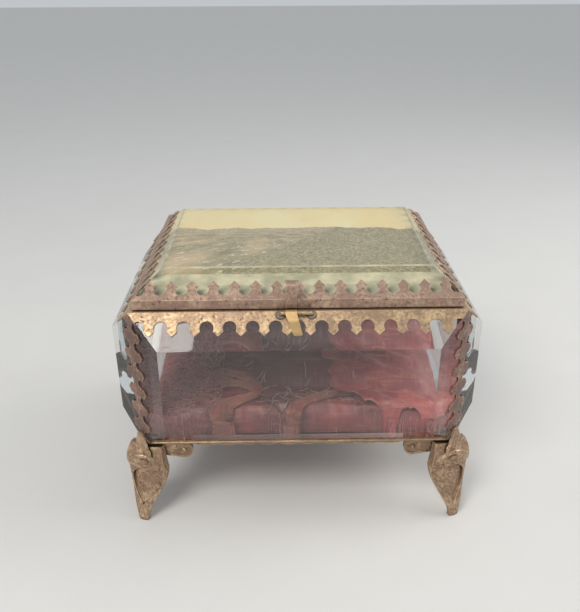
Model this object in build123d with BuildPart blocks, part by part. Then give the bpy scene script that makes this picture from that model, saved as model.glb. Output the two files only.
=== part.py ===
from build123d import *
from math import cos, hypot, radians, sin
import os

os.makedirs("parts", exist_ok=True)

# A small keepsake casket: four bevelled glass walls and a bevelled glass lid, each held at
# its edges by folded brass strip with a crown-cut border, standing on four cast brass feet.
# Millimetres. The origin is on the floor under the middle of the box, +Z is up and the
# front, where the clasp is, faces -Y.

# ---- the box frame
frame_width = 100.0  # outside corner to outside corner, left to right
frame_depth = 78.0  # the same, front to back
rim_height = 75.0  # floor to the top of the body's rim
base_height = 27.0  # floor to the underside of the body's bottom edge
sheet = 0.5  # thickness of the folded brass strip

# ---- the wall glasses
glass_edge = 1.4  # thickness left at a ground edge
bevel_width = 8.6  # of a bevel, measured across the face of the glass
bevel_rise = 7.8  # how far the flat stands out in front of the edge

# ---- the crown border: a plain band, then arches with pointed teeth between them
wall_pitch = 6.75
wall_band = 2.6
tooth_depth = 4.6
arch_radius = 2.05
shoulder_width = 3.3  # of a tooth, where its point starts
shoulder_drop = 3.1  # from the top of an arch down to the shoulders
rim_flange = 2.0  # the strip's turned-in top, from the outer plane of the frame
wall_teeth = {"front": 14, "right": 11, "rear": 14, "left": 11}

# ---- the corner posts, the same strip cut narrower
post_pitch = 6.5
post_band = 1.1
post_tooth_depth = 3.3
post_arch_radius = 1.7
post_shoulder_width = 3.6
post_shoulder_drop = 2.2
post_teeth = 6

# ---- the bottom rails: a narrow lip outside, a flange under the glass, a drooping crown
bottom_lip = 1.5
bottom_flange = 3.4
droop_pitch = 6.6
droop_depth = 2.6
droop_arch_radius = 1.9
droop_angle = 45.0
droop_clear = 17.0  # plain length left at each end for the feet

# ---- the base and the cushion
base_thickness = 0.8
cushion_gap = 0.5  # all round, to the glass
cushion_roll_height = 10.8  # top of the front roll over the base
cushion_crown = 18.0  # highest part of the stuffing over the base
cushion_draw_in = 1.6  # how far a long side pulls in between its corners
cushion_end_drop = 5.0  # how much lower the stuffing is at the ends
tuft_radius = 12.0
tuft_depth = 4.0

# ---- the lid
lid_setback = 1.3  # of the lid's edge inside the frame's outer plane
lid_gap = 0.35  # between the closed lid and the rim
backing_thickness = 0.8
picture_thickness = 0.2
lid_glass_edge = 1.2
lid_bevel_rise = 6.3
lid_bevel_long = 9.4  # bevels of the front and rear edges
lid_bevel_short = 7.4  # bevels of the two ends
lid_flange = 2.6
lid_pitch = 6.3
lid_band = 1.5
lid_tooth_depth = 5.0
lid_arch_radius = 1.9
lid_shoulder_width = 3.1
lid_shoulder_drop = 3.2
lid_teeth = {"front": 15, "right": 11, "rear": 15, "left": 11}

# ---- the two rear hinges
hinge_spread = 56.0  # centre to centre
hinge_knuckle_radius = 1.2
hinge_pin_radius = 0.55
hinge_pin_clearance = 0.05
hinge_outer_length = 3.6  # each of the two body knuckles
hinge_middle_length = 5.0  # the lid knuckle
hinge_end_gap = 0.3
hinge_leaf = 0.45  # thickness of the leaves
hinge_standoff = 0.35  # between the knuckle and the rail under it
hinge_leaf_reach = 5.6  # of the body leaf down the rail

# ---- the clasp
clasp_offset = -2.2  # the clasp sits left of the middle
tab_width = 3.5
tab_thickness = 0.5
tab_top = 85.1  # floor to the top of the rolled finger grip
tab_roll_radius = 1.5
tab_lip_drop = 2.3  # straight part of the roll's front
staple_wire_radius = 0.55
staple_left = -3.7  # end of the bar from the clasp's middle
staple_right = 6.6
staple_bend = 0.8
staple_slide = 0.8  # from the rim down the rail to the bar
staple_height = 1.4  # bar's axis over the rail
solder_radius = 1.5
solder_height = 0.45
tongue_clearance = 0.05
tongue_thickness = 0.4
tongue_width = 3.4
tongue_length = 6.6
tongue_tip_width = 2.7
tongue_lean = 16.0  # degrees, bent over to the right with wear

# ---- the feet, by station: floor height, width across, thickness, how far the face stands out
leg_turn = 25.0  # degrees from the corner's diagonal towards the long side
leg_stations = [
    (0.0, 3.2, 2.6, 6.0),
    (2.5, 3.8, 2.4, 6.1),
    (6.5, 6.8, 2.2, 4.8),
    (11.3, 11.0, 2.2, 2.4),
    (15.5, 13.6, 2.4, 1.3),
    (19.0, 14.0, 3.0, 1.0),
]
head_stations = [
    (18.2, 14.0, 4.4, 1.9),
    (22.0, 13.4, 4.8, 2.4),
    (base_height - 0.4, 11.2, 3.2, 0.6),
]
foot_bow = 0.1  # how far the face falls back at its sides, by width
foot_edge = 0.6  # thickness at the sides, by that in the middle
foot_recess = 0.9
foot_leaf_bottom = 5.6
foot_leaf_shoulder = 14.4
foot_leaf_top = 17.7
foot_leaf_width = 11.0
toe_cup_radius = 1.3
toe_cup_depth = 0.5
toe_cup_height = 2.5
foot_brow_radius = 0.75
foot_brow_span = 11.2
foot_brow_bottom = 20.3
foot_brow_top = 23.9
foot_brow_face = 2.3
hollow_radius = 6.0
hollow_depth = 1.2
foot_ball_radius = 1.4
foot_ball_height = 21.0
foot_ball_sink = 0.2
wing_root = 1.5  # along the rail from the corner
wing_length = 15.4
wing_depth = 6.0
wing_thickness = 1.6
wing_setback = 0.4  # behind the frame's outer plane
wing_rim = 0.8
wing_recess = 0.4
wing_panel_start = 4.0  # of the recess, from the root
wing_bead_radius = 1.0
wing_bead_sink = 0.15
crest_height = 5.6  # over the underside of the frame
crest_half_width = 4.2
crest_neck = 2.8  # half width where it passes the frame
crest_thickness = 0.9
crest_standoff = 0.55  # of its back from the corner

# ---- places worked out from the sizes above
glass_bottom = base_height + sheet
glass_top = rim_height - sheet
glass_height = glass_top - glass_bottom
middle_height = (glass_top + glass_bottom) / 2
slope_length = hypot(bevel_width, bevel_rise)
base_top = glass_bottom + base_thickness
lid_bottom = rim_height + lid_gap
backing_bottom = lid_bottom + sheet
picture_bottom = backing_bottom + backing_thickness
lid_glass_bottom = picture_bottom + picture_thickness
lid_edge_top = lid_glass_bottom + lid_glass_edge
lid_length = frame_width - 2 * lid_setback
lid_breadth = frame_depth - 2 * lid_setback

# side name: turn about Z, length of the wall, distance between it and its opposite
sides = {
    "front": (0, frame_width, frame_depth),
    "right": (90, frame_depth, frame_width),
    "rear": (180, frame_width, frame_depth),
    "left": (270, frame_depth, frame_width),
}
up = Vector(0, 0, 1)


def outward(turn):
    """Horizontal direction that a side faces."""
    return Vector(sin(radians(turn)), -cos(radians(turn)), 0)


def along(turn):
    """Horizontal direction from a side's left end to its right end, seen from outside."""
    return Vector(cos(radians(turn)), sin(radians(turn)), 0)


def save(piece, name):
    """Labels a finished piece and writes it to its own file."""
    piece.label = name
    export_step(piece, f"parts/{name}.step")


def slope_plane(edge_point, facing, towards_edge, width, rise):
    """Plane of a bevel: origin on its low edge, +Y out to that edge, +Z out of the glass."""
    normal = (facing * width + towards_edge * rise).normalized()
    uphill = (towards_edge * width - facing * rise).normalized()
    return Plane(origin=edge_point, x_dir=uphill.cross(normal), z_dir=normal)


def crown(plane, length, band, depth, radius, shoulder, drop, pitch, teeth):
    """A crown-cut leg on a plane: band along the edge, arches under it, points between."""
    tip = band + depth
    with BuildSketch(plane) as leg:
        with Locations((0, -tip / 2)):
            Rectangle(length, tip)
        for n in range(teeth + 1):
            middle = (n - teeth / 2) * pitch
            with Locations((middle, -band - radius)):
                Circle(radius, mode=Mode.SUBTRACT)
            Polygon(
                (middle - pitch / 2, -tip),
                (middle - pitch / 2 + shoulder / 2, -band - drop),
                (middle + pitch / 2 - shoulder / 2, -band - drop),
                (middle + pitch / 2, -tip),
                align=None,
                mode=Mode.SUBTRACT,
            )
        end = (teeth + 1) / 2 * pitch
        spare = length / 2 - end
        if spare > 0:
            with Locations((end + spare / 2, -band - depth / 2), (-end - spare / 2, -band - depth / 2)):
                Rectangle(spare, depth, mode=Mode.SUBTRACT)
    return leg


# ---- wall glasses: plates ground to a wide bevel on all four outer edges, mitred at the corners
for side, (turn, length, span) in sides.items():
    facing = outward(turn)
    wall = Plane(origin=facing * (span / 2) + up * middle_height, x_dir=along(turn), z_dir=facing)
    with BuildPart() as panel:
        with BuildSketch(wall.offset(-glass_edge)):
            Rectangle(length, glass_height)
        extrude(amount=glass_edge + bevel_rise)
        for towards, reach in (
            (up, glass_height / 2),
            (-up, glass_height / 2),
            (along(turn), length / 2),
            (-along(turn), length / 2),
        ):
            ground = slope_plane(wall.origin + towards * reach, facing, towards, bevel_width, bevel_rise)
            split(bisect_by=ground, keep=Keep.BOTTOM)
        for end in (1, -1):
            corner = wall.origin + along(turn) * (end * length / 2)
            split(bisect_by=Plane(origin=corner, z_dir=along(turn) * end - facing), keep=Keep.BOTTOM)
    save(panel.part, f"{side}_glass")

# ---- top rails: a flange over the glass's edge and a crown-cut leg down its top bevel
for side, (turn, length, span) in sides.items():
    facing = outward(turn)
    edge = facing * (span / 2) + up * glass_top
    fall = (bevel_rise / slope_length, -bevel_width / slope_length)
    normal = (bevel_width / slope_length, bevel_rise / slope_length)
    bend = sheet * normal[0] / (1 + normal[1])
    with BuildPart() as rail:
        with BuildSketch(Plane(origin=edge, x_dir=facing, z_dir=-along(turn))):
            Polygon(
                (-rim_flange, 0),
                (0, 0),
                (fall[0] * wall_band, fall[1] * wall_band),
                (fall[0] * wall_band + normal[0] * sheet, fall[1] * wall_band + normal[1] * sheet),
                (bend, sheet),
                (-rim_flange, sheet),
                align=None,
            )
        extrude(amount=length / 2 + sheet, both=True)
        leg = crown(
            slope_plane(edge, facing, up, bevel_width, bevel_rise),
            length,
            wall_band,
            tooth_depth,
            arch_radius,
            shoulder_width,
            shoulder_drop,
            wall_pitch,
            wall_teeth[side],
        )
        extrude(leg.sketch, amount=sheet)
        for end in (1, -1):
            corner = edge + along(turn) * (end * length / 2)
            split(bisect_by=Plane(origin=corner, z_dir=along(turn) * end - facing), keep=Keep.BOTTOM)
            split(bisect_by=Plane(origin=corner, z_dir=along(turn) * end - up), keep=Keep.BOTTOM)
    save(rail.part, f"body_{side}_rail")

# ---- bottom rails: a lip on the lower bevel, a flange under the glass and the base, and
# a low crown that droops under the edge between the feet
for side, (turn, length, span) in sides.items():
    facing = outward(turn)
    edge = facing * (span / 2) + up * glass_bottom
    rise = (bevel_rise / slope_length, bevel_width / slope_length)
    normal = (bevel_width / slope_length, -bevel_rise / slope_length)
    bend = sheet * normal[0] / (1 - normal[1])
    droop_length = length - 2 * droop_clear
    droop_teeth = int(droop_length / droop_pitch)
    droop_normal = facing * sin(radians(droop_angle)) - up * cos(radians(droop_angle))
    with BuildPart() as rail:
        with BuildSketch(Plane(origin=edge, x_dir=facing, z_dir=-along(turn))):
            Polygon(
                (-bottom_flange, 0),
                (0, 0),
                (rise[0] * bottom_lip, rise[1] * bottom_lip),
                (rise[0] * bottom_lip + normal[0] * sheet, rise[1] * bottom_lip + normal[1] * sheet),
                (bend, -sheet),
                (-bottom_flange, -sheet),
                align=None,
            )
        extrude(amount=length / 2 + sheet, both=True)
        for end in (1, -1):
            corner = edge + along(turn) * (end * length / 2)
            split(bisect_by=Plane(origin=corner, z_dir=along(turn) * end - facing), keep=Keep.BOTTOM)
            split(bisect_by=Plane(origin=corner, z_dir=along(turn) * end + up), keep=Keep.BOTTOM)
        droop = crown(
            Plane(origin=edge - up * (sheet / 2), x_dir=along(turn), z_dir=droop_normal),
            droop_teeth * droop_pitch,
            sheet,
            droop_depth,
            droop_arch_radius,
            droop_pitch - 1.2 * droop_arch_radius,
            droop_depth * 0.7,
            droop_pitch,
            droop_teeth,
        )
        extrude(droop.sketch, amount=sheet)
    save(rail.part, f"bottom_{side}_rail")

# ---- corner posts: crown-cut angle strips over the meeting bevels of two glasses
corner_names = {
    "front_right": ("front", "right"),
    "rear_right": ("right", "rear"),
    "rear_left": ("rear", "left"),
    "front_left": ("left", "front"),
}
for name, (first, second) in corner_names.items():
    turn_a, length_a, span_a = sides[first]
    turn_b, length_b, span_b = sides[second]
    corner = outward(turn_a) * (span_a / 2) + along(turn_a) * (length_a / 2)
    slope_a = (outward(turn_a) * bevel_rise - along(turn_a) * bevel_width).normalized()
    slope_b = (outward(turn_b) * bevel_rise + along(turn_b) * bevel_width).normalized()
    normal_a = (outward(turn_a) * bevel_width + along(turn_a) * bevel_rise).normalized()
    normal_b = (outward(turn_b) * bevel_width - along(turn_b) * bevel_rise).normalized()
    fold = corner + (normal_a + normal_b) * (sheet / (1 + normal_a.dot(normal_b)))
    outline = [
        corner + slope_a * post_band,
        corner,
        corner + slope_b * post_band,
        corner + slope_b * post_band + normal_b * sheet,
        fold,
        corner + slope_a * post_band + normal_a * sheet,
    ]
    with BuildPart() as post:
        with BuildSketch(Plane.XY.offset(base_height)):
            Polygon(*[(p.X, p.Y) for p in outline], align=None)
        extrude(amount=rim_height - base_height)
        for turn, hand in ((turn_a, 1), (turn_b, -1)):
            leg = crown(
                slope_plane(
                    corner + up * middle_height,
                    outward(turn),
                    along(turn) * hand,
                    bevel_width,
                    bevel_rise,
                ),
                glass_height,
                post_band,
                post_tooth_depth,
                post_arch_radius,
                post_shoulder_width,
                post_shoulder_drop,
                post_pitch,
                post_teeth,
            )
            extrude(leg.sketch, amount=sheet)
        for turn, hand in ((turn_a, 1), (turn_b, -1)):
            for height, sense in ((glass_top, 1), (glass_bottom, -1)):
                mitre = Plane(
                    origin=corner + up * height,
                    z_dir=along(turn) * hand - up * sense,
                )
                split(bisect_by=mitre, keep=Keep.TOP)
    save(post.part, f"{name}_post")

# ---- base: a thin brass plate that lies on the bottom flanges, inside the glass
with BuildPart() as base_panel:
    with BuildSketch(Plane.XY.offset(glass_bottom)):
        Rectangle(frame_width - 2 * glass_edge, frame_depth - 2 * glass_edge)
    extrude(amount=base_thickness)
save(base_panel.part, "base_panel")

# ---- cushion: stuffed silk with a roll along the front, a crown behind it, long sides
# that pull in between the corners, and one sewn tuft that gathers the top
half_length = frame_width / 2 - glass_edge - cushion_gap
half_depth = frame_depth / 2 - glass_edge - cushion_gap
with BuildPart() as cushion:
    for share in (-1.0, -0.86, -0.5, 0.0, 0.5, 0.86, 1.0):
        front = -half_depth + cushion_draw_in * (1 - share**2)
        back = half_depth - cushion_draw_in * (1 - share**2)
        drop = cushion_end_drop * abs(share) ** 6
        roll = cushion_roll_height - drop * 0.5
        crest = cushion_crown - drop
        with BuildSketch(Plane.YZ.offset(half_length * share)):
            with BuildLine():
                foot_front = (front + 1.2, base_top)
                foot_back = (back - 1.2, base_top)
                roll_top = (front + 4.5, base_top + roll)
                valley = (front + 14.0, base_top + roll + 1.2)
                rear_top = (back - 4.0, base_top + crest * 0.72)
                Line(foot_back, foot_front)
                ThreePointArc(foot_front, (front, base_top + roll * 0.5), roll_top)
                ThreePointArc(roll_top, (front + 9.4, base_top + roll - 0.6), valley)
                ThreePointArc(valley, ((front + back) / 2 + 8, base_top + crest), rear_top)
                ThreePointArc(rear_top, (back, base_top + crest * 0.36), foot_back)
            make_face()
    loft()
    with Locations((0, 2.0, base_top + cushion_crown + tuft_radius - tuft_depth)):
        Sphere(tuft_radius, mode=Mode.SUBTRACT)
save(cushion.part, "silk_cushion")

# ---- lid glass: a plate with a wide bevel up to a flat top
# side name: turn, length, distance to the opposite, its own bevel and the next side's
lid_sides = {
    "front": (0, lid_length, lid_breadth, lid_bevel_long, lid_bevel_short),
    "right": (90, lid_breadth, lid_length, lid_bevel_short, lid_bevel_long),
    "rear": (180, lid_length, lid_breadth, lid_bevel_long, lid_bevel_short),
    "left": (270, lid_breadth, lid_length, lid_bevel_short, lid_bevel_long),
}
with BuildPart() as lid_glass:
    with BuildSketch(Plane.XY.offset(lid_glass_bottom)):
        Rectangle(lid_length, lid_breadth)
    extrude(amount=lid_glass_edge + lid_bevel_rise)
    for turn, length, span, own_bevel, next_bevel in lid_sides.values():
        edge = outward(turn) * (span / 2) + up * lid_edge_top
        ground = slope_plane(edge, up, outward(turn), own_bevel, lid_bevel_rise)
        split(bisect_by=ground, keep=Keep.BOTTOM)
save(lid_glass.part, "lid_glass")

# ---- picture print and its silk-covered backing card, under the lid glass
for name, bottom, thickness in (
    ("lid_picture", picture_bottom, picture_thickness),
    ("lid_backing", backing_bottom, backing_thickness),
):
    with BuildPart() as card:
        with BuildSketch(Plane.XY.offset(bottom)):
            Rectangle(lid_length, lid_breadth)
        extrude(amount=thickness)
    save(card.part, name)

# ---- lid rails: a flange under the card, a wall round the edge, a crown up the bevel
for side, (turn, length, span, own_bevel, next_bevel) in lid_sides.items():
    facing = outward(turn)
    edge = facing * (span / 2) + up * lid_edge_top
    slope = hypot(own_bevel, lid_bevel_rise)
    climb = (-own_bevel / slope, lid_bevel_rise / slope)
    normal = (lid_bevel_rise / slope, own_bevel / slope)
    bend = sheet * normal[1] / (1 + normal[0])
    flange_bottom = lid_bottom - lid_edge_top
    with BuildPart() as rail:
        with BuildSketch(Plane(origin=edge, x_dir=facing, z_dir=-along(turn))):
            Polygon(
                (-lid_flange, flange_bottom),
                (sheet, flange_bottom),
                (sheet, bend),
                (climb[0] * lid_band + normal[0] * sheet, climb[1] * lid_band + normal[1] * sheet),
                (climb[0] * lid_band, climb[1] * lid_band),
                (0, 0),
                (0, flange_bottom + sheet),
                (-lid_flange, flange_bottom + sheet),
                align=None,
            )
        extrude(amount=length / 2 + sheet, both=True)
        leg = crown(
            slope_plane(edge, up, facing, own_bevel, lid_bevel_rise),
            length,
            lid_band,
            lid_tooth_depth,
            lid_arch_radius,
            lid_shoulder_width,
            lid_shoulder_drop,
            lid_pitch,
            lid_teeth[side],
        )
        extrude(leg.sketch, amount=sheet)
        for end in (1, -1):
            corner = edge + along(turn) * (end * length / 2)
            mitre = Plane(origin=corner, z_dir=along(turn) * (end * own_bevel) - facing * next_bevel)
            split(bisect_by=mitre, keep=Keep.BOTTOM)
    save(rail.part, f"lid_{side}_rail")

# ---- hinges at the rear: two body knuckles on a leaf, a lid knuckle between them, a pin
slope_out = bevel_rise / slope_length
slope_down = bevel_width / slope_length
rim_out = frame_depth / 2 + sheet * slope_down
rim_up = glass_top + sheet * slope_out
hinge_lift = hinge_knuckle_radius + hinge_standoff
hinge_out = rim_out + hinge_lift * slope_down
hinge_up = rim_up + hinge_lift * slope_out
lid_wall_out = lid_breadth / 2 + sheet
outer_start = hinge_middle_length / 2 + hinge_end_gap
outer_end = outer_start + hinge_outer_length
for name, middle in (("left", -hinge_spread / 2), ("right", hinge_spread / 2)):
    section = Plane(origin=(middle, 0, 0), x_dir=(0, 1, 0), z_dir=(1, 0, 0))
    axis_plane = Plane(origin=(middle, hinge_out, hinge_up), x_dir=(0, 1, 0), z_dir=(1, 0, 0))
    rail_plane = Plane(
        origin=(middle, rim_out, rim_up), x_dir=(-1, 0, 0), z_dir=(0, slope_down, slope_out)
    )

    with BuildPart() as body_leaf:
        with BuildSketch(rail_plane):
            with Locations((0, -hinge_leaf_reach / 2 + hinge_lift / 2)):
                Rectangle(2 * outer_end, hinge_leaf_reach - hinge_lift)
            with Locations((0, 0.6)):
                Rectangle(2 * outer_start, 2 * hinge_lift + 2.4, mode=Mode.SUBTRACT)
        extrude(amount=hinge_leaf)
        with BuildSketch(axis_plane.offset(outer_start)):
            Circle(hinge_knuckle_radius)
            Polygon(
                (0, 0),
                (-hinge_lift * slope_down, -hinge_lift * slope_out),
                (
                    -hinge_lift * slope_down + hinge_knuckle_radius * slope_out,
                    -hinge_lift * slope_out - hinge_knuckle_radius * slope_down,
                ),
                (hinge_knuckle_radius * slope_out, -hinge_knuckle_radius * slope_down),
                align=None,
            )
            Circle(hinge_pin_radius, mode=Mode.SUBTRACT)
        extrude(amount=hinge_outer_length)
        mirror(about=section)
    save(body_leaf.part, f"{name}_hinge_body_leaf")

    with BuildPart() as lid_leaf:
        with BuildSketch(axis_plane.offset(-hinge_middle_length / 2)):
            Circle(hinge_knuckle_radius)
            with Locations(((lid_wall_out - hinge_out) / 2, 0.45)):
                Rectangle(hinge_out - lid_wall_out, 0.7)
            with Locations((lid_wall_out - hinge_out + hinge_leaf / 2, 1.0)):
                Rectangle(hinge_leaf, 2.6)
            Circle(hinge_pin_radius + hinge_pin_clearance, mode=Mode.SUBTRACT)
        extrude(amount=hinge_middle_length)
    save(lid_leaf.part, f"{name}_hinge_lid_leaf")

    with BuildPart() as pin:
        with BuildSketch(axis_plane.offset(-outer_end)):
            Circle(hinge_pin_radius)
        extrude(amount=2 * outer_end)
        for side, shift in ((-1, -outer_end - 0.35), (1, outer_end)):
            with BuildSketch(axis_plane.offset(shift)):
                Circle(hinge_pin_radius + 0.3)
            extrude(amount=0.35)
    save(pin.part, f"{name}_hinge_pin")

# ---- clasp: a rolled tab on the lid, a wire staple on the body, a tongue hung on the wire
clasp_section = Plane(origin=(clasp_offset, 0, 0), x_dir=(0, -1, 0), z_dir=(-1, 0, 0))
with BuildPart() as lid_tab:
    with BuildSketch(clasp_section.offset(-tab_width / 2)):
        with BuildLine():
            strip_out = lid_wall_out + tab_thickness / 2
            roll_up = tab_top - tab_thickness / 2 - tab_roll_radius
            rise = Line((strip_out, lid_bottom + 0.4), (strip_out, roll_up))
            roll = ThreePointArc(
                rise @ 1,
                (strip_out + tab_roll_radius, roll_up + tab_roll_radius),
                (strip_out + 2 * tab_roll_radius, roll_up),
            )
            Line(roll @ 1, (strip_out + 2 * tab_roll_radius, roll_up - tab_lip_drop))
        trace(line_width=tab_thickness)
    extrude(amount=tab_width)
save(lid_tab.part, "lid_tab")

front_rail_plane = Plane(
    origin=(clasp_offset, -rim_out - slope_out * staple_slide, rim_up - slope_down * staple_slide),
    x_dir=(1, 0, 0),
    z_dir=(0, -slope_down, slope_out),
)
wire_plane = Plane(
    origin=front_rail_plane.origin, x_dir=(1, 0, 0), z_dir=-front_rail_plane.y_dir
)
with BuildPart() as staple:
    with BuildLine(wire_plane):
        left_leg = staple_left + staple_wire_radius
        right_leg = staple_right - staple_wire_radius
        FilletPolyline(
            (left_leg, 0),
            (left_leg, staple_height),
            (right_leg, staple_height),
            (right_leg, 0),
            radius=staple_bend,
        )
    with BuildSketch(front_rail_plane):
        with Locations((left_leg, 0)):
            Circle(staple_wire_radius)
    sweep()
save(staple.part, "clasp_staple")

with BuildPart() as solder:
    for leg in (left_leg, right_leg):
        with BuildSketch(front_rail_plane):
            with Locations((leg, -0.2)):
                Circle(solder_radius)
        extrude(amount=solder_height, taper=35)
        with BuildSketch(front_rail_plane):
            with Locations((leg, 0)):
                Circle(staple_wire_radius)
        extrude(amount=solder_height, mode=Mode.SUBTRACT)
save(solder.part, "clasp_solder")

bar = front_rail_plane.origin + front_rail_plane.z_dir * staple_height
tongue_section = Plane(origin=bar, x_dir=-front_rail_plane.y_dir, z_dir=(-1, 0, 0))
tongue_bore = staple_wire_radius + tongue_clearance
tongue_offset = tongue_bore + tongue_thickness / 2
with BuildPart() as tongue:
    with BuildSketch(tongue_section.offset(-3 * tongue_width)):
        with BuildLine():
            Spline(
                (0, tongue_offset),
                (tongue_length * 0.4, tongue_offset + 0.15),
                (tongue_length * 0.8, tongue_offset - 0.7),
                (tongue_length, tongue_offset - 1.45),
                tangents=[(1, 0), (0.35, -1)],
            )
        trace(line_width=tongue_thickness)
        Circle(tongue_bore + tongue_thickness)
        Circle(tongue_bore, mode=Mode.SUBTRACT)
    extrude(amount=6 * tongue_width)
    with BuildSketch(front_rail_plane):
        lean = tongue_length * sin(radians(tongue_lean)) / cos(radians(tongue_lean))
        half_tip = tongue_tip_width / 2
        Polygon(
            (-tongue_width / 2, 2.0),
            (-tongue_width / 2, -0.6),
            (lean - half_tip, -tongue_length + 0.2),
            (lean - half_tip + 0.5, -tongue_length - 0.3),
            (lean + half_tip - 0.5, -tongue_length - 0.3),
            (lean + half_tip, -tongue_length + 0.2),
            (tongue_width / 2, -0.6),
            (tongue_width / 2, 2.0),
            align=None,
        )
    extrude(amount=6, mode=Mode.INTERSECT)
save(tongue.part, "clasp_tongue")

# ---- feet: a bowed, leaf-shaped leg that faces between the corner's diagonal and the long
# side, under a head with a brow over a small ball, a crest up the corner and a wing along
# each bottom rail. The front right foot is made with the corner over its origin and +X out
# along the diagonal, and the other three mirror it.
def bowed(station, sunk=0):
    """Section of the foot at a station: its face bows back at the sides."""
    height, width, thickness, out = station
    front = out - sunk
    side = front - foot_bow * width
    with BuildSketch(Plane.XY.offset(height)) as section:
        with BuildLine():
            face_arc = ThreePointArc((side, -width / 2), (front, 0), (side, width / 2))
            back_arc = ThreePointArc(
                (side - thickness * foot_edge, width / 2),
                (front - thickness, 0),
                (side - thickness * foot_edge, -width / 2),
            )
            Line(face_arc @ 1, back_arc @ 0)
            Line(back_arc @ 1, face_arc @ 0)
        make_face()
    return section.sketch


def wing_outline(plane, root, inset):
    """A wing from its root to the round lobe at its end, or the panel that far inside it."""
    top = base_height - inset
    bottom = base_height - wing_depth + inset
    tip = wing_length - inset
    with BuildSketch(plane) as outline:
        with BuildLine():
            shoulder = Line((root, top), (tip - 1.6, top))
            lobe = ThreePointArc(shoulder @ 1, (tip, (top + bottom) / 2), (tip - 2.6, bottom))
            belly = Spline(
                lobe @ 1,
                (wing_length * 0.6, bottom + 0.8),
                (root, bottom - 0.9),
                tangents=[(-1, 0.15), (-1, -0.5)],
            )
            Line(belly @ 1, shoulder @ 0)
        make_face()
    return outline.sketch


face = Plane(origin=(0, 0, 0), x_dir=(0, 1, 0), z_dir=(1, 0, 0))
with BuildPart() as recess_floor:
    loft([bowed(station, foot_recess) for station in leg_stations])
with BuildPart() as leaf:
    with BuildSketch(face.offset(-1)):
        with BuildLine():
            half_leaf = foot_leaf_width / 2
            bottom = (0, foot_leaf_bottom)
            Spline(bottom, (-half_leaf, foot_leaf_shoulder), tangents=[(-0.7, 1), (0, 1)])
            Spline(bottom, (half_leaf, foot_leaf_shoulder), tangents=[(0.7, 1), (0, 1)])
            ThreePointArc(
                (-half_leaf, foot_leaf_shoulder),
                (0, foot_leaf_top),
                (half_leaf, foot_leaf_shoulder),
            )
        make_face()
    extrude(amount=10)
    add(recess_floor.part, mode=Mode.SUBTRACT)
with BuildPart() as leg:
    loft([bowed(station) for station in leg_stations])
    add(leaf.part, mode=Mode.SUBTRACT)
    loft([bowed(station) for station in head_stations])
    hollow_floor = head_stations[1][3] - hollow_depth
    with Locations((hollow_floor + hollow_radius, 0, foot_ball_height)):
        Sphere(hollow_radius, mode=Mode.SUBTRACT)
    with Locations((hollow_floor - foot_ball_sink, 0, foot_ball_height)):
        Sphere(foot_ball_radius, rotation=(0, 0, 180))
    toe_floor = leg_stations[1][3] - toe_cup_depth
    with Locations((toe_floor + toe_cup_radius, 0, toe_cup_height)):
        Sphere(toe_cup_radius, mode=Mode.SUBTRACT)
    brow_side = foot_brow_face - foot_bow * foot_brow_span
    with BuildLine():
        brow = ThreePointArc(
            (brow_side, -foot_brow_span / 2, foot_brow_bottom),
            (foot_brow_face, 0, foot_brow_top),
            (brow_side, foot_brow_span / 2, foot_brow_bottom),
        )
    with BuildSketch(Plane(origin=brow @ 0, z_dir=brow % 0)):
        Circle(foot_brow_radius)
    sweep(path=brow)
with BuildPart() as foot:
    add(leg.part, rotation=(0, 0, -leg_turn))
    with BuildSketch(face.offset(crest_standoff)):
        Polygon(
            (-crest_half_width, foot_brow_top - 0.8),
            (crest_half_width, foot_brow_top - 0.8),
            (crest_half_width - 0.4, base_height - 0.8),
            (crest_neck, base_height),
            (crest_neck - 0.2, base_height + 1.4),
            (0.6, base_height + crest_height),
            (-0.6, base_height + crest_height),
            (-crest_neck + 0.2, base_height + 1.4),
            (-crest_neck, base_height),
            (-crest_half_width + 0.4, base_height - 0.8),
            align=None,
        )
    extrude(amount=crest_thickness)
    for hand in (1, -1):
        wing_out = Vector(1, hand, 0).normalized()
        wing_along = Vector(-1, hand, 0).normalized()
        wing_face = Plane(origin=-wing_out * wing_setback, x_dir=wing_along, z_dir=wing_out * hand)
        extrude(wing_outline(wing_face, wing_root, 0), amount=-hand * wing_thickness)
        panel = wing_outline(wing_face, wing_root + wing_panel_start, wing_rim)
        extrude(panel, amount=-hand * wing_recess, mode=Mode.SUBTRACT)
        bead_in = wing_recess + wing_bead_sink
        bead_place = (wing_length - 2.9, base_height - wing_depth / 2, -hand * bead_in)
        with Locations(wing_face.from_local_coords(bead_place)):
            Sphere(wing_bead_radius, rotation=(0, 0, 180))
with BuildPart() as front_right_foot:
    with Locations(Plane(origin=(frame_width / 2, -frame_depth / 2, 0), x_dir=(1, -1, 0))):
        add(foot.part)
with BuildPart() as front_left_foot:
    mirror(front_right_foot.part, about=Plane.YZ)
save(front_right_foot.part, "front_right_foot")
save(front_left_foot.part, "front_left_foot")
for front_foot, name in ((front_right_foot, "rear_right_foot"), (front_left_foot, "rear_left_foot")):
    with BuildPart() as rear_foot:
        mirror(front_foot.part, about=Plane.XZ)
    save(rear_foot.part, name)
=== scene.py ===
from math import cos, exp, pi, radians, sin
from random import Random

import bmesh
import bpy
from mathutils import Matrix, Vector, noise
from mathutils.bvhtree import BVHTree


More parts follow.
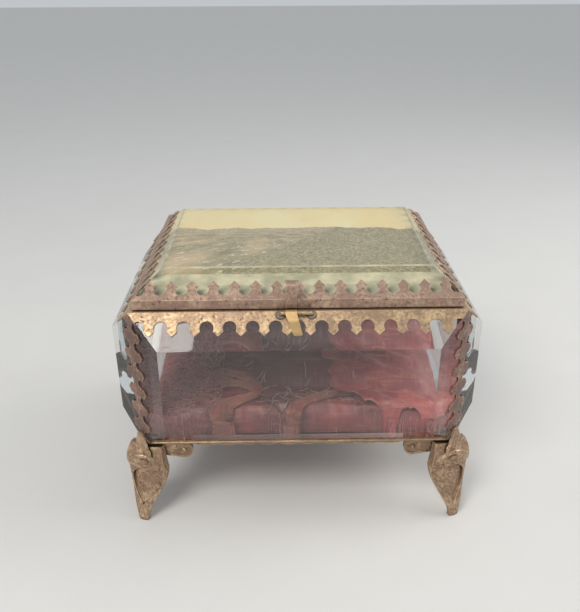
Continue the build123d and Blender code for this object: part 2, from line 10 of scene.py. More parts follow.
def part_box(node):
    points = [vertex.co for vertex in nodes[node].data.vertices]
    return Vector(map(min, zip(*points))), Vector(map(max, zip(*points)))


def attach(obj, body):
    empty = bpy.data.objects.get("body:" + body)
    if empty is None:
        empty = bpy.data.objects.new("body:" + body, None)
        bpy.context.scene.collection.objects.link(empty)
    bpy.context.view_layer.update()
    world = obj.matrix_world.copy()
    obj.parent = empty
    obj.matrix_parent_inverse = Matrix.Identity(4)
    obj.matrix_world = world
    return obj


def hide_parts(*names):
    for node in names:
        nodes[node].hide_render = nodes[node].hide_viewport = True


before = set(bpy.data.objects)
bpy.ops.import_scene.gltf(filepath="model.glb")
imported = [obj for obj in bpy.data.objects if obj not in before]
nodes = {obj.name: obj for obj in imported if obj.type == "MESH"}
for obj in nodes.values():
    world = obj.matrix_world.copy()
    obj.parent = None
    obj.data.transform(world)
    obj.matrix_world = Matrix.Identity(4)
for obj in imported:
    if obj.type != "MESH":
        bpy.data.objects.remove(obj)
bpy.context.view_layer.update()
MM = 0.001


# ---- Wall glasses
# Four thick plates, ground to a wide bevel on every outer edge and polished. The glass is
# faintly green, with dust, fine scratches and greasy finger marks from a century of handling.
class Flow:
    """A socket in a node tree. Arithmetic on flows adds the Math nodes for it."""

    def __init__(self, tree, socket=None):
        self.tree, self.socket = tree, socket

    def node(self, kind, inputs, output=0, **settings):
        """Adds a node of that type: settings first, then what its sockets hold."""
        made = self.tree.nodes.new("ShaderNode" + kind)
        for name, value in settings.items():
            setattr(made, name, value)
        for name, value in inputs.items():
            socket = made.inputs[name]
            if isinstance(value, Flow):
                self.tree.links.new(value.socket, socket)
            elif socket.type == "RGBA" and len(value) == 3:
                socket.default_value = (*value, 1.0)
            else:
                socket.default_value = value
        return Flow(self.tree, made.outputs[output])

    def maths(self, operation, first, second):
        return self.node("Math", {0: first, 1: second}, operation=operation)

    def __add__(self, other):
        return self.maths("ADD", self, other)

    def __radd__(self, other):
        return self.maths("ADD", other, self)

    def __sub__(self, other):
        return self.maths("SUBTRACT", self, other)

    def __rsub__(self, other):
        return self.maths("SUBTRACT", other, self)

    def __mul__(self, other):
        return self.maths("MULTIPLY", self, other)

    def __rmul__(self, other):
        return self.maths("MULTIPLY", other, self)

    def __truediv__(self, other):
        return self.maths("DIVIDE", self, other)

    def __rtruediv__(self, other):
        return self.maths("DIVIDE", other, self)

    def clear_of(self, low, high):
        """0 below low, 1 above high, smooth between them."""
        return self.node(
            "MapRange",
            {"Value": self, "From Min": low, "From Max": high},
            interpolation_type="SMOOTHSTEP",
        )

    def pick(self, first, second):
        """Colour first where this is 0 and second where it is 1."""
        return self.node(
            "Mix", {"Factor": self, 6: first, 7: second}, output=2, data_type="RGBA"
        )


def new_material(name):
    """An empty material: its node tree's start, and the place in the object, in metres."""
    material = bpy.data.materials.new(name)
    material.use_nodes = True
    tree = material.node_tree
    tree.nodes.clear()
    start = Flow(tree)
    place = start.node("TexCoord", {}, output="Object")
    return material, start, place


def finish_material(start, shader):
    output = start.tree.nodes.new("ShaderNodeOutputMaterial")
    start.tree.links.new(shader.socket, output.inputs["Surface"])


def cloud(start, place, size, detail=4.0, roughness=0.55):
    """Soft noise from 0 to 1 whose lumps are about that many metres across."""
    return start.node(
        "TexNoise",
        {"Vector": place, "Scale": 1 / size, "Detail": detail, "Roughness": roughness},
        output=0,
    )


def paint(material, *names):
    """Gives CAD nodes that material."""
    for name in names:
        mesh = nodes[name].data
        mesh.materials.clear()
        mesh.materials.append(material)


def glass_material(name, tint):
    material, start, place = new_material(name)
    smears = cloud(start, place, 9 * MM, 5.0).clear_of(0.5, 0.75)
    dust = cloud(start, place, 0.5 * MM, 2.0).clear_of(0.64, 0.76)
    stretched = start.node("Mapping", {"Vector": place, "Scale": (1, 1, 14)}, output=0)
    scratches = cloud(start, stretched, 6 * MM, 2.0, 0.8).clear_of(0.69, 0.72)
    roughness = 0.015 + smears * 0.05 + scratches * 0.2
    waves = cloud(start, place, 12 * MM, 1.0) * 0.4 + scratches * 0.05
    normal = start.node("Bump", {"Height": waves, "Strength": 0.12, "Distance": 0.2 * MM})
    clear = start.node(
        "BsdfPrincipled",
        {
            "Base Color": tint,
            "Roughness": roughness,
            "IOR": 1.5,
            "Specular IOR Level": 0.3,
            "Transmission Weight": 1.0,
            "Normal": normal,
        },
    )
    film = start.node(
        "BsdfPrincipled", {"Base Color": (0.62, 0.60, 0.54), "Roughness": 0.8}
    )
    dusty = start.node("MixShader", {0: dust * 0.1 + smears * 0.02, 1: clear, 2: film})
    lamp_ray = start.node("LightPath", {}, output="Is Shadow Ray")
    through = start.node("BsdfTransparent", {"Color": (0.95, 0.96, 0.95)})
    finish_material(start, start.node("MixShader", {0: lamp_ray, 1: dusty, 2: through}))
    return material


wall_glass = glass_material("bevelled_glass", (0.965, 0.985, 0.975))
paint(wall_glass, "front_glass", "right_glass", "rear_glass", "left_glass")


# ---- Brass edging
# Thin brass strip, die-cut to a crown border and folded over the glass, once gilded. The gilding
# is left on edges and high spots, over brown patina.
# Bright edges are partly a painted highlight, and the corners are darkened with painted shade.
def brass_material(name, gold, brown, gold_share, pit_depth):
    material, start, place = new_material(name)
    broad = cloud(start, place, 6 * MM, 5.0, 0.6)
    fine = cloud(start, place, 0.9 * MM, 5.0, 0.7)
    patches = (broad * 0.45 + fine * 0.55).clear_of(0.54 - gold_share, 0.74 - gold_share)
    grain = cloud(start, place, 0.35 * MM, 3.0, 0.6)
    pits = fine.clear_of(0.40, 0.33)
    rounded = start.node("Bevel", {"Radius": 0.32 * MM}, samples=4)
    facing = start.node("NewGeometry", {}, output="Normal")
    same = start.node(
        "VectorMath", {0: rounded, 1: facing}, output=1, operation="DOT_PRODUCT"
    )
    rubbed = cloud(start, place, 1.6 * MM, 3.0).clear_of(0.3, 0.5)
    edge = (1 - same).clear_of(0.002, 0.035) * rubbed
    # Painted shade: the colour darkens where ambient occlusion finds corners and hollows.
    open_sky = start.node("AmbientOcclusion", {"Distance": 1.6 * MM}, output=1, samples=6)
    painted_shade = open_sky.clear_of(0.75, 0.35)
    colour = patches.pick(brown, gold)
    # Edges: rubbed gilding, lightened further to a pale gold as a painted highlight.
    colour = (edge * 0.85).pick(colour, fine.pick(gold, (0.80, 0.62, 0.42)))
    colour = (pits * 0.7).pick(colour, (0.045, 0.026, 0.016))
    colour = (painted_shade * 0.85).pick(colour, (0.040, 0.024, 0.016))
    roughness = 0.34 + grain * 0.2 + pits * 0.2
    normal = start.node(
        "Bump",
        {
            "Height": grain * 0.5 + fine - pits * 0.4,
            "Strength": pit_depth,
            "Distance": 0.14 * MM,
            "Normal": rounded,
        },
    )
    finish_material(
        start,
        start.node(
            "BsdfPrincipled",
            {
                "Base Color": colour,
                "Metallic": 0.55 + patches * 0.35,
                "Roughness": roughness,
                "Normal": normal,
            },
        ),
    )
    return material


body_brass = brass_material(
    "gilt_brass", (0.68, 0.49, 0.29), (0.34, 0.225, 0.145), 0.11, 0.5
)
lid_brass = brass_material(
    "lid_brass", (0.62, 0.45, 0.33), (0.34, 0.22, 0.165), 0.09, 0.55
)
post_brass = brass_material(
    "post_brass", (0.52, 0.34, 0.25), (0.19, 0.11, 0.09), 0.08, 0.55
)
corners = ("front_left", "front_right", "rear_left", "rear_right")
for side in ("front", "right", "rear", "left"):
    paint(body_brass, f"body_{side}_rail", f"bottom_{side}_rail")
    paint(lid_brass, f"lid_{side}_rail")
for corner in corners:
    paint(post_brass, f"{corner}_post")

# ---- Feet
# Four small castings, soldered under the corners. The casting is rougher than the strip and
# darker in its hollows, from the same painted shade as the strip.
foot_brass = brass_material(
    "cast_brass", (0.72, 0.52, 0.33), (0.30, 0.19, 0.125), 0.09, 0.9
)
for corner in corners:
    paint(foot_brass, f"{corner}_foot")

# ---- Base panel
# A plain sheet soldered inside the bottom rails. Only its dull underside can be seen.
paint(post_brass, "base_panel")

# ---- Cushion
# Wadding under a cover of rose silk, tacked down round the base. It swells over its roll along
# the front, and the silk has faded, creased and split.
low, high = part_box("silk_cushion")
start_share = 0.985  # of the CAD cushion's size, before it swells
voxel = 1.5 * MM
pressure = 4.0
swelling_frames = 20
swelling_cap = 0.7 * MM  # the furthest that a place may swell
side_height = 4 * MM  # over the base, where the creases of the top begin
pucker_depth = 0.25 * MM


def silk_material(name, deep, pale, painted_sheen):
    material, start, place = new_material(name)
    fade = cloud(start, place, 14 * MM, 4.0).clear_of(0.38, 0.68)
    slubs = cloud(
        start,
        start.node("Mapping", {"Vector": place, "Scale": (0.25, 2.2, 2.2)}, output=0),
        2.2 * MM,
        5.0,
        0.65,
    )
    threads = cloud(
        start,
        start.node("Mapping", {"Vector": place, "Scale": (9, 0.6, 0.6)}, output=0),
        3.0 * MM,
        3.0,
    )
    colour = fade.pick(deep, pale)
    # Streaks along the slubs and threads take a painted sheen colour, standing in for the silk's
    # shine.
    colour = (slubs.clear_of(0.5, 0.72) * 0.5).pick(colour, painted_sheen)
    colour = (threads.clear_of(0.55, 0.72) * 0.35).pick(colour, painted_sheen)
    normal = start.node(
        "Bump", {"Height": threads * 0.5 + slubs, "Strength": 0.5, "Distance": 0.16 * MM}
    )
    finish_material(
        start,
        start.node(
            "BsdfPrincipled",
            {
                "Base Color": colour,
                "Roughness": 0.34 + slubs * 0.25,
                "Normal": normal,
                "Specular IOR Level": 0.6,
                "Sheen Weight": 0.25,
                "Sheen Tint": (1.0, 0.62, 0.50),
            },
        ),
    )
    return material


silk = silk_material(
    "rose_silk", (0.105, 0.016, 0.024), (0.24, 0.040, 0.045), (0.42, 0.13, 0.08)
)
pad = bpy.data.objects.new("stuffed_cushion", nodes["silk_cushion"].data.copy())
bpy.context.scene.collection.objects.link(pad)
middle = Vector([(a + b) / 2 for a, b in zip(low, high)])
middle.z = low[2]
for vertex in pad.data.vertices:
    vertex.co = middle + (vertex.co - middle) * start_share


def applied(piece):
    """The piece's mesh with its modifiers applied and removed."""
    graph = bpy.context.evaluated_depsgraph_get()
    mesh = bpy.data.meshes.new_from_object(piece.evaluated_get(graph))
    piece.modifiers.clear()
    piece.data = mesh
    return mesh


blocks = pad.modifiers.new("blocks", "REMESH")
blocks.mode = "VOXEL"
blocks.voxel_size = voxel
mesh = applied(pad)
rest_places = [vertex.co.copy() for vertex in mesh.vertices]
swelling = pad.modifiers.new("swelling", "CLOTH")
swelling.settings.use_pressure = True
swelling.settings.uniform_pressure_force = pressure
swelling.settings.effector_weights.gravity = 0.0
for frame_number in range(1, swelling_frames + 1):
    bpy.context.scene.frame_set(frame_number)
mesh = applied(pad)
for vertex, rest in zip(mesh.vertices, rest_places):
    shift = vertex.co - rest
    if shift.length > swelling_cap:
        shift *= swelling_cap / shift.length
    vertex.co = rest + shift
smooth = pad.modifiers.new("smooth", "SUBSURF")
smooth.levels = smooth.render_levels = 1
mesh = applied(pad)
mesh.polygons.foreach_set("use_smooth", [True] * len(mesh.polygons))

# creases of the cover, in millimetres: a line of places in plan, its reach and its height
behind_roll = ((-48, -22), (-30, -23), (-14, -21), (4, -23), (20, -22), (34, -24), (48, -23))
creases = (
    (behind_roll, 2.4, -1.5),
    (((-14, -12), (0, -15), (12, -14), (26, -19)), 1.6, 0.9),
    (((22, -10), (30, -18), (40, -21)), 1.8, 1.3),
    (((24, -4), (34, -12), (46, -15)), 1.6, 1.2),
    (((-40, 6), (-16, 10), (10, 6), (40, 12)), 2.5, 1.0),
    (((-44, 20), (-20, 16), (6, 20), (30, 18), (46, 24)), 2.2, -1.1),
    (((-30, -4), (-22, 12), (-26, 30)), 2.0, -0.9),
    (((14, -2), (20, 14), (16, 30)), 2.0, -0.9),
)


def ripple(x, y, z):
    """Smooth noise from -1 to 1, the same in each run."""
    return noise.noise(Vector((x, y, z)))


def gap_to_run(x, y, run_start, run_end):
    """Distance in plan from (x, y) to a straight run."""
    (x0, y0), (x1, y1) = run_start, run_end
    run_x, run_y = x1 - x0, y1 - y0
    along = ((x - x0) * run_x + (y - y0) * run_y) / (run_x**2 + run_y**2)
    along = max(0.0, min(1.0, along))
    return ((x - x0 - along * run_x) ** 2 + (y - y0 - along * run_y) ** 2) ** 0.5


def crease_height(x, y):
    """How far the cover stands up at that place in plan, in millimetres."""
    total = 0.0
    for line, reach, height in creases:
        nearest = min(gap_to_run(x, y, *run) for run in zip(line, line[1:]))
        total += height * exp(-((nearest / reach) ** 2))
    return total + 0.55 * ripple(x * 0.16, y * 0.5, 3.0) + 0.25 * ripple(x * 0.5, y * 0.9, 7.0)


shaping = bmesh.new()
shaping.from_mesh(mesh)


def true_normal(vertex):
    """The vertex's normal as its faces lie now, with those already moved."""
    for face in vertex.link_faces:
        face.normal_update()
    vertex.normal_update()
    return vertex.normal


for vertex in shaping.verts:
    on_top = vertex.co.z > low[2] + side_height
    up = max(0.0, true_normal(vertex).z) ** 0.7 if on_top else 0.0
    x, y = vertex.co.x / MM, vertex.co.y / MM
    vertex.co.z += up * crease_height(x, y) * MM
    pucker = ripple(x * 0.45, 0.0, vertex.co.z / MM * 0.12)
    if true_normal(vertex).y < -0.5:
        vertex.co.y += pucker_depth * (1 + pucker)
    vertex.co.x = max(low[0], min(high[0], vertex.co.x))
    vertex.co.y = max(low[1], min(high[1], vertex.co.y))
    vertex.co.z = max(low[2] + 0.02 * MM, vertex.co.z)
shaping.to_mesh(mesh)
shaping.free()
mesh.materials.clear()
mesh.materials.append(silk)
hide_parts("silk_cushion")
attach(pad, "casket_body")

# ---- Torn cover
# The top layer of silk has split along the front. What is left lies loose over the wadding
# in two pieces with ragged edges: a maroon one darkened as painted shade under the lid, and a
# brighter pink one lightened as painted light from the right side glass.
cells_across, cells_along = 150, 44
silk_thickness = 0.12 * MM
curl_height, curl_reach = 0.8, 1.6  # in millimetres, as are the next two
fold_reach = 9.0
side_fade = 3.0
pad_tree = BVHTree.FromPolygons(
    [vertex.co for vertex in mesh.vertices], [polygon.vertices for polygon in mesh.polygons]
)


def pad_top(x, y):
    """Height of the cushion's surface there, all in millimetres."""
    hit = pad_tree.ray_cast(Vector((x * MM, y * MM, 0.1)), Vector((0, 0, -1)))[0]
    return hit.z / MM if hit else low[2] / MM


def torn_edge(turns, x):
    """How far forward the torn edge comes at x, with its ragged jitter."""
    y = turns[-1][1]
    for (x0, y0), (x1, y1) in zip(turns, turns[1:]):
        if x0 <= x <= x1:
            share = (x - x0) / (x1 - x0)
            y = y0 + (y1 - y0) * share * share * (3 - 2 * share)
    return y + 0.7 * ripple(x * 0.7, y * 0.1, 5.0) + 0.35 * ripple(x * 3.1, 1.0, 9.0)


def placed(name, made, material):
    """A new piece of the body from that bmesh, smooth and in that material."""
    mesh = bpy.data.meshes.new(name)
    made.to_mesh(mesh)
    made.free()
    mesh.polygons.foreach_set("use_smooth", [True] * len(mesh.polygons))
    mesh.materials.append(material)
    piece = bpy.data.objects.new(name, mesh)
    bpy.context.scene.collection.objects.link(piece)
    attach(piece, "casket_body")
    return piece


def torn_sheet(name, turns, back, above, folds, material):
    """Silk from its torn front edge to the back, folded near the edge and curled along it."""
    left, right = turns[0][0], turns[-1][0]
    made = bmesh.new()
    grid = []
    for i in range(cells_across + 1):
        from_left = i / cells_across
        x = left + (right - left) * i / cells_across
        front = torn_edge(turns, x)
        edges = min(1.0, (x - left) / side_fade, (right - x) / side_fade)
        row = []
        for j in range(cells_along + 1):
            y = front + (back - front) * (j / cells_along) ** 1.5
            wave = sin(x * 0.55 + y * 0.9 + 4 * ripple(x * 0.08, y * 0.08, 2.0))
            curl = curl_height * exp(-((y - front) / curl_reach))
            curl *= 0.6 + 0.6 * ripple(x * 0.25, 0.0, 4.0)
            fold = folds * (0.5 + 0.5 * wave) * exp(-(y - front) / fold_reach)
            z = pad_top(x, y) + above + (curl + fold) * max(0.15, edges)
            drift = 3.5 * ripple(0.0, y * 0.3, 8.0) - 0.3 * (y - front)
            drift *= (1 - from_left) ** 2
            row.append(made.verts.new(((x + drift) * MM, y * MM, z * MM)))
        grid.append(row)
    for one, two in zip(grid, grid[1:]):
        for j in range(cells_along):
            made.faces.new((one[j], two[j], two[j + 1], one[j + 1]))
    piece = placed(name, made, material)
    thick = piece.modifiers.new("thickness", "SOLIDIFY")
    thick.thickness = silk_thickness
    thick.offset = 1.0
    applied(piece)


left_edge = (
    (-30, -17), (-21, -20), (-14, -25), (-10, -32), (-6, -33.5),
    (0, -30), (8, -28), (18, -28.5), (24, -27),
)  # fmt: skip
right_edge = (
    (13, -24), (17.8, -29.7), (23, -33), (28.3, -35.6), (36, -34.5), (41, -35.4), (46.5, -34.5)
)
# Two copies of the silk: the darker maroon is painted shade under the lid, the brighter pink is
# painted light from the right side glass.
shaded_maroon_silk = silk_material(
    "shaded_maroon_silk", (0.07, 0.012, 0.018), (0.13, 0.022, 0.028), (0.26, 0.085, 0.06)
)
lit_pink_silk = silk_material(
    "lit_pink_silk", (0.17, 0.020, 0.032), (0.33, 0.050, 0.058), (0.62, 0.22, 0.12)
)
torn_sheet("torn_cover_left", left_edge, 24.0, 0.25, 0.5, shaded_maroon_silk)
torn_sheet("torn_cover_right", right_edge, 20.0, 0.8, 1.9, lit_pink_silk)

# ---- Loose threads
# Where the cover has shattered only its warp threads are left. Two skeins hang over the front
# roll, a tangle lies at the left, and pale lint has settled on top.
chance = Random(1890)
end_share = 0.35  # of a thread's radius, at its ends
any_way = 6.3  # a whole turn, for directions drawn at random


def strand_piece(name, lines, material):
    """Many fine three-sided threads in one piece; a line is (places in mm, radius in mm)."""
    made = bmesh.new()
    for line, radius in lines:
        rings = []
        for k, spot in enumerate(line):
            ahead = (line[min(k + 1, len(line) - 1)] - line[max(k - 1, 0)]).normalized()
            side = ahead.cross(Vector((0.31, 0.17, 0.93))).normalized()
            above = side.cross(ahead)
            size = radius * (end_share if k in (0, len(line) - 1) else 1.0)
            rings.append(
                [
                    made.verts.new((spot + side * cos(t) * size + above * sin(t) * size) * MM)
                    for t in (0.5, 0.5 + 2 * pi / 3, 0.5 + 4 * pi / 3)
                ]
            )
        for one, two in zip(rings, rings[1:]):
            for k in range(3):
                made.faces.new((one[k], one[(k + 1) % 3], two[(k + 1) % 3], two[k]))
        made.faces.new(rings[0][::-1])
        made.faces.new(rings[-1])
    placed(name, made, material)


def along_curve(points, share):
    """A place on a smooth curve through the points, at a share of its way."""
    spot = share * (len(points) - 1)
    k = min(int(spot), len(points) - 2)
    t = spot - k
    p0, p1, p2, p3 = (
        Vector(points[max(0, min(len(points) - 1, k + step))]) for step in (-1, 0, 1, 2)
    )
    return 0.5 * (
        2 * p1
        + (p2 - p0) * t
        + (2 * p0 - 5 * p1 + 4 * p2 - p3) * t**2
        + (3 * p1 - p0 - 3 * p2 + p3) * t**3
    )


def skein(points, widths, count, steps):
    """Threads side by side along a route of (x, y, height over the pad)."""
    lines = []
    for _ in range(count):
        lane = chance.uniform(-1, 1)
        stack = chance.uniform(0.1, 0.9) * (1 - lane * lane * 0.7)
        phase, start_at = chance.uniform(0, any_way), chance.uniform(0, 0.12)
        line = []
        for k in range(steps + 1):
            share = start_at + (1 - start_at) * k / steps
            here = along_curve(points, share)
            ahead = along_curve(points, min(1, share + 0.02))
            ahead -= along_curve(points, max(0, share - 0.02))
            side = Vector((ahead.y, -ahead.x, 0))
            if side.length < 0.3 * ahead.length:
                side = Vector((1, 0, 0))
            side.normalize()
            width = along_curve([(w, 0, 0) for w in widths], share).x
            spot = here + side * (lane * width / 2 + 0.18 * sin(phase + share * 9))
            spot.y = max(spot.y, front_face + 0.15)
            spot.z += stack
            if spot.y > front_face + 1.5:
                spot.z = max(spot.z, pad_top(spot.x, spot.y) + 0.15 + stack)
            line.append(spot)
        lines.append((line, chance.uniform(0.06, 0.13)))
    return lines


front_face = low[1] / MM
roll_top = pad_top(-23, front_face + 4.5)
bundle = skein(
    (
        (-29, -21, roll_top + 1.5), (-24, -19.5, roll_top + 2.4), (-18, -20.5, roll_top + 2.6),
        (-14, -24, roll_top + 2.4), (-14.5, -27.5, roll_top + 2.0), (-19, -29.5, roll_top + 1.4),
        (-23.5, -32, roll_top + 1.0), (-24.5, front_face + 2.0, roll_top + 0.2),
        (-24, front_face + 0.4, roll_top - 3.5), (-23.2, front_face + 0.5, roll_top - 9.0),
    ),
    (7.0, 7.5, 6.5, 5.0, 3.5, 4.5, 6.5, 7.0, 7.0, 6.5), 120, 34,
)
bundle += skein(
    (
        (14, -25.5, roll_top + 1.4), (8, -27.5, roll_top + 1.5), (3.5, -29.5, roll_top + 1.3),
        (0, -32, roll_top + 1.0), (-1.6, front_face + 2.2, roll_top + 0.3),
        (-2, front_face + 0.4, roll_top - 3.5), (-2.2, front_face + 0.5, roll_top - 8.5),
    ),
    (3.0, 3.5, 3.5, 4.5, 5.0, 5.0, 4.6), 80, 28,
)
skein_silk = silk_material(
    "skein_silk", (0.22, 0.055, 0.045), (0.36, 0.11, 0.08), (0.58, 0.26, 0.17)
)
strand_piece("silk_skeins", bundle, skein_silk)

tangle = []
for _ in range(300):
    x, y = chance.uniform(-46.5, -27), chance.uniform(-33.5, -12)
    turn, bend = chance.uniform(0, any_way), chance.uniform(-0.5, 0.5)
    lift = chance.uniform(0.1, 1.0) ** 2 * 3.2
    line = []
    for k in range(14):
        line.append(Vector((x, y, pad_top(x, y) + 0.15 + lift * sin(pi * (k + 1) / 15))))
        turn += bend + chance.uniform(-0.45, 0.45)
        x = max(-47.2, min(-25, x + 0.8 * cos(turn)))
        y = max(-35.5, min(-8, y + 0.8 * sin(turn)))
    tangle.append((line, chance.uniform(0.04, 0.10)))

# short ends frayed from the two torn edges
fray_step, fray_steps = 0.45, 7
for edge, count in ((left_edge, 70), (right_edge, 60)):
    for _ in range(count):
        x = chance.uniform(edge[0][0] + 1, edge[-1][0] - 1)
        y = torn_edge(edge, x)
        turn = -pi / 2 + chance.uniform(-1.1, 1.1)
        line = []
        for k in range(fray_steps):
            z = pad_top(x, max(y, front_face + 1.5)) + 0.3 + 0.5 * (1 - k / fray_steps)
            line.append(Vector((x, max(y, front_face + 0.4), z)))
            turn += chance.uniform(-0.35, 0.35)
            x, y = x + fray_step * cos(turn), y + fray_step * sin(turn)
        tangle.append((line, chance.uniform(0.04, 0.08)))
tangle_silk = silk_material(
    "shattered_silk", (0.30, 0.10, 0.10), (0.46, 0.20, 0.19), (0.66, 0.36, 0.32)
)
strand_piece("shattered_threads", tangle, tangle_silk)

# ---- Lint
# Pale fluff and crumbs that have fallen on the silk: curled fibres, most of them lying flat,
# and specks.
fibre_step, fibre_steps, fibre_radius, speck_radius = 0.45, 9, 0.045, 0.09
lint = []
for _ in range(34):
    x, y = chance.gauss(2, 11), chance.gauss(-25, 5)
    x, y = max(-22, min(26, x)), max(-35, min(-14, y))
    turn, bend = chance.uniform(0, any_way), chance.uniform(-0.3, 0.3)
    rise = chance.choice((0.1, 0.2, 0.7))
    line = []
    for k in range(fibre_steps):
        line.append(Vector((x, y, pad_top(x, y) + 1.2 + rise * k * 0.4)))
        turn += bend
        x, y = x + fibre_step * cos(turn), y + fibre_step * sin(turn)
    lint.append((line, fibre_radius))
for _ in range(40):
    x, y = chance.uniform(-40, 40), chance.uniform(-35, -16)
    spot = Vector((x, y, pad_top(x, y) + 1.0))
    line = [spot, spot + Vector((0.25, 0.1, 0.1)), spot + Vector((0.4, 0.3, 0.0))]
    lint.append((line, speck_radius))
material, start, place = new_material("pale_lint")
finish_material(
    start,
    start.node(
        "BsdfPrincipled",
        {
            "Base Color": cloud(start, place, 2 * MM).pick((0.55, 0.44, 0.40), (0.85, 0.78, 0.70)),
            "Roughness": 0.8,
        },
    ),
)
strand_piece("pale_lint", lint, material)

# ---- Lid glass and print
# The same plate as the walls over a printed landscape: a cream sky, low hills and fields.
# The paper's bare margin shows under the bevels, spotted with damp.
lid_glass = glass_material("lid_plate_glass", (0.965, 0.985, 0.975))
paint(lid_glass, "lid_glass")
material, start, place = new_material("landscape_print")
spread = start.node("SeparateXYZ", {"Vector": place}, output="Y")
across = start.node("SeparateXYZ", {"Vector": place}, output="X")
print_front, horizon, print_half = -21.0 * MM, 10.5 * MM, 42.0 * MM
trim = 0.4 * MM  # the width over which the picture ends


def stretched_cloud(origin, scale, size, *texture):
    mapped = start.node("Mapping", {"Vector": origin, "Scale": scale}, output=0)
    return cloud(start, mapped, size, *texture)


ridge = stretched_cloud(place, (1, 0, 0), 26 * MM, 5.0)
trees = stretched_cloud(place, (1, 0.3, 0), 2.2 * MM, 4.0)
above_ridge = spread + (ridge - 0.5) * (16 * MM)
far_hills = above_ridge.clear_of(horizon + 1.2 * MM, horizon + 2.0 * MM)
near_hill = (
    spread + (10 * MM - across) * 0.9 + (trees - 0.5) * (4 * MM) + (ridge - 0.5) * (10 * MM)
).clear_of(horizon - 3.0 * MM, horizon - 2.2 * MM)
# the ground is drawn in perspective, so its marks crowd together towards the horizon
depth = 9 * MM / (horizon + 5 * MM - spread)
ground_place = start.node(
    "CombineXYZ", {"X": across * depth * 1.1, "Y": depth * 30 * MM, "Z": 0.0}
)
fields = cloud(start, ground_place, 5 * MM, 5.0, 0.65)
flecks = stretched_cloud(ground_place, (1, 1.4, 1), 1.1 * MM, 3.0, 0.7).clear_of(0.56, 0.64)
speckle = cloud(start, place, 0.9 * MM, 5.0, 0.7)
land = fields.clear_of(0.35, 0.65).pick((0.46, 0.42, 0.28), (0.80, 0.69, 0.50))
land = (flecks * 0.8).pick(land, (1.0, 0.92, 0.80))
wood = speckle.clear_of(0.35, 0.65).pick((0.40, 0.38, 0.25), (0.74, 0.66, 0.47))
hills = speckle.clear_of(0.4, 0.6).pick((0.60, 0.54, 0.42), (0.78, 0.70, 0.54))
haze = cloud(start, place, 22 * MM, 4.0).clear_of(0.3, 0.7)
sky = haze.pick((1.0, 0.88, 0.58), (1.0, 0.94, 0.70))
picture = near_hill.pick(wood, land)
picture = far_hills.pick(picture, sky)
far_strip = (1 - far_hills) * near_hill * spread.clear_of(horizon - 3 * MM, horizon - 0.5 * MM)
picture = far_strip.pick(picture, hills)
damp = cloud(start, place, 7 * MM, 6.0, 0.6)
margin = damp.clear_of(0.35, 0.68).pick((0.66, 0.64, 0.50), (0.92, 0.88, 0.72))
margin = (speckle.clear_of(0.62, 0.75) * 0.5).pick(margin, (0.36, 0.34, 0.26))
from_middle = start.node("Math", {0: across}, operation="ABSOLUTE")
side_margin = from_middle.clear_of(print_half - trim, print_half)
bare = 1 - (1 - side_margin) * spread.clear_of(print_front - trim, print_front)
picture = bare.pick(picture, margin)
finish_material(
    start, start.node("BsdfPrincipled", {"Base Color": picture, "Roughness": 0.7})
)
paint(material, "lid_picture")

# ---- Lid backing
# Card that holds the print up against the glass. Its lower face, which shows when the lid is
# open, is covered in the cushion's rose silk.
paint(silk, "lid_backing")

# ---- Hinges and tab
# Small fittings of the edging's brass, soldered to the rails. The tab ends in a finger roll.
paint(lid_brass, "lid_tab", "left_hinge_lid_leaf", "right_hinge_lid_leaf")
paint(body_brass, "left_hinge_body_leaf", "right_hinge_body_leaf")
paint(body_brass, "left_hinge_pin", "right_hinge_pin")

# ---- Clasp
# A bar of brass wire stands off the front rail on two dull blobs of solder. The tongue that
# is wrapped round it is rubbed bright by fingers.
bright_brass = brass_material(
    "rubbed_brass", (0.62, 0.42, 0.20), (0.38, 0.22, 0.10), 0.28, 0.4
)
paint(body_brass, "clasp_staple")
paint(bright_brass, "clasp_tongue")
material, start, place = new_material("soft_solder")
lumps = cloud(start, place, 1.2 * MM, 5.0)
finish_material(
    start,
    start.node(
        "BsdfPrincipled",
        {
            "Base Color": lumps.pick((0.13, 0.10, 0.08), (0.33, 0.28, 0.23)),
            "Metallic": 0.8,
            "Roughness": 0.45 + lumps * 0.2,
            "Normal": start.node(
                "Bump", {"Height": lumps, "Strength": 0.6, "Distance": 0.2 * MM}
            ),
        },
    ),
)
paint(material, "clasp_solder")

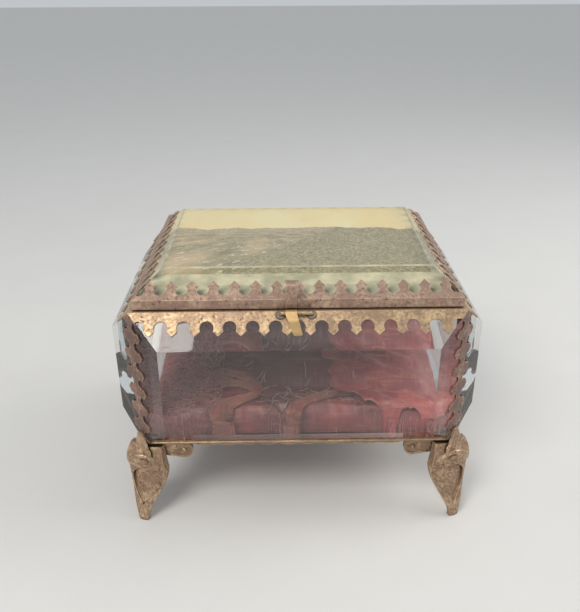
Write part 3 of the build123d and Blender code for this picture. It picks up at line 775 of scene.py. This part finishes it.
# ---- Studio
# A plain pale floor, two soft lamps and a pale sky, and a camera at the photograph's angle.
mesh = bpy.data.meshes.new("floor")
sheet = bmesh.new()
bmesh.ops.create_grid(sheet, x_segments=2, y_segments=2, size=3.0)
sheet.to_mesh(mesh)
sheet.free()
floor = bpy.data.objects.new("floor", mesh)
bpy.context.scene.collection.objects.link(floor)
material, start, place = new_material("pale_floor")
grit = cloud(start, place, 30 * MM, 3.0)
finish_material(
    start,
    start.node(
        "BsdfPrincipled",
        {"Base Color": grit.pick((0.70, 0.69, 0.67), (0.74, 0.73, 0.71)), "Roughness": 0.85},
    ),
)
mesh.materials.append(material)

world = bpy.data.worlds.new("studio")
bpy.context.scene.world = world
world.use_nodes = True
background = world.node_tree.nodes["Background"]
background.inputs["Color"].default_value = (0.86, 0.90, 0.94, 1.0)
background.inputs["Strength"].default_value = 0.62


def softbox(name, place, target, size, power, colour):
    lamp = bpy.data.lights.new(name, "AREA")
    lamp.shape = "DISK"
    lamp.size = size
    lamp.energy = power
    lamp.color = colour
    holder = bpy.data.objects.new(name, lamp)
    holder.location = place
    towards = Vector(target) - Vector(place)
    holder.rotation_euler = towards.to_track_quat("-Z", "Y").to_euler()
    bpy.context.scene.collection.objects.link(holder)


softbox("key", (-0.25, -0.35, 0.55), (0, 0, 0.04), 0.30, 2.0, (1.0, 0.96, 0.90))
softbox("fill", (0.45, 0.05, 0.40), (0, 0, 0.04), 0.40, 1.2, (1.0, 0.97, 0.93))

pitch, roll, yaw = radians(26.591), radians(0.324), radians(0.685)
lens_px = 691.5
wide_px, tall_px = 580, 612
middle_px = (291.08, 308.38)  # where the lens points, in the photograph
camera = bpy.data.cameras.new("camera")
camera.sensor_width = 36.0
camera.lens = lens_px * camera.sensor_width / tall_px
viewer = bpy.data.objects.new("camera", camera)
viewer.location = (-4.372 * MM, -220.984 * MM, 166.871 * MM)
viewer.rotation_euler = (
    Matrix.Rotation(-yaw, 3, "Z")
    @ Matrix.Rotation(pi / 2 - pitch, 3, "X")
    @ Matrix.Rotation(-roll, 3, "Z")
).to_euler()
camera.shift_x = (wide_px / 2 - middle_px[0]) / tall_px
camera.shift_y = (middle_px[1] - tall_px / 2) / tall_px
camera.clip_start = 0.01
bpy.context.scene.collection.objects.link(viewer)
bpy.context.scene.camera = viewer
bpy.context.scene.view_settings.view_transform = "Standard"
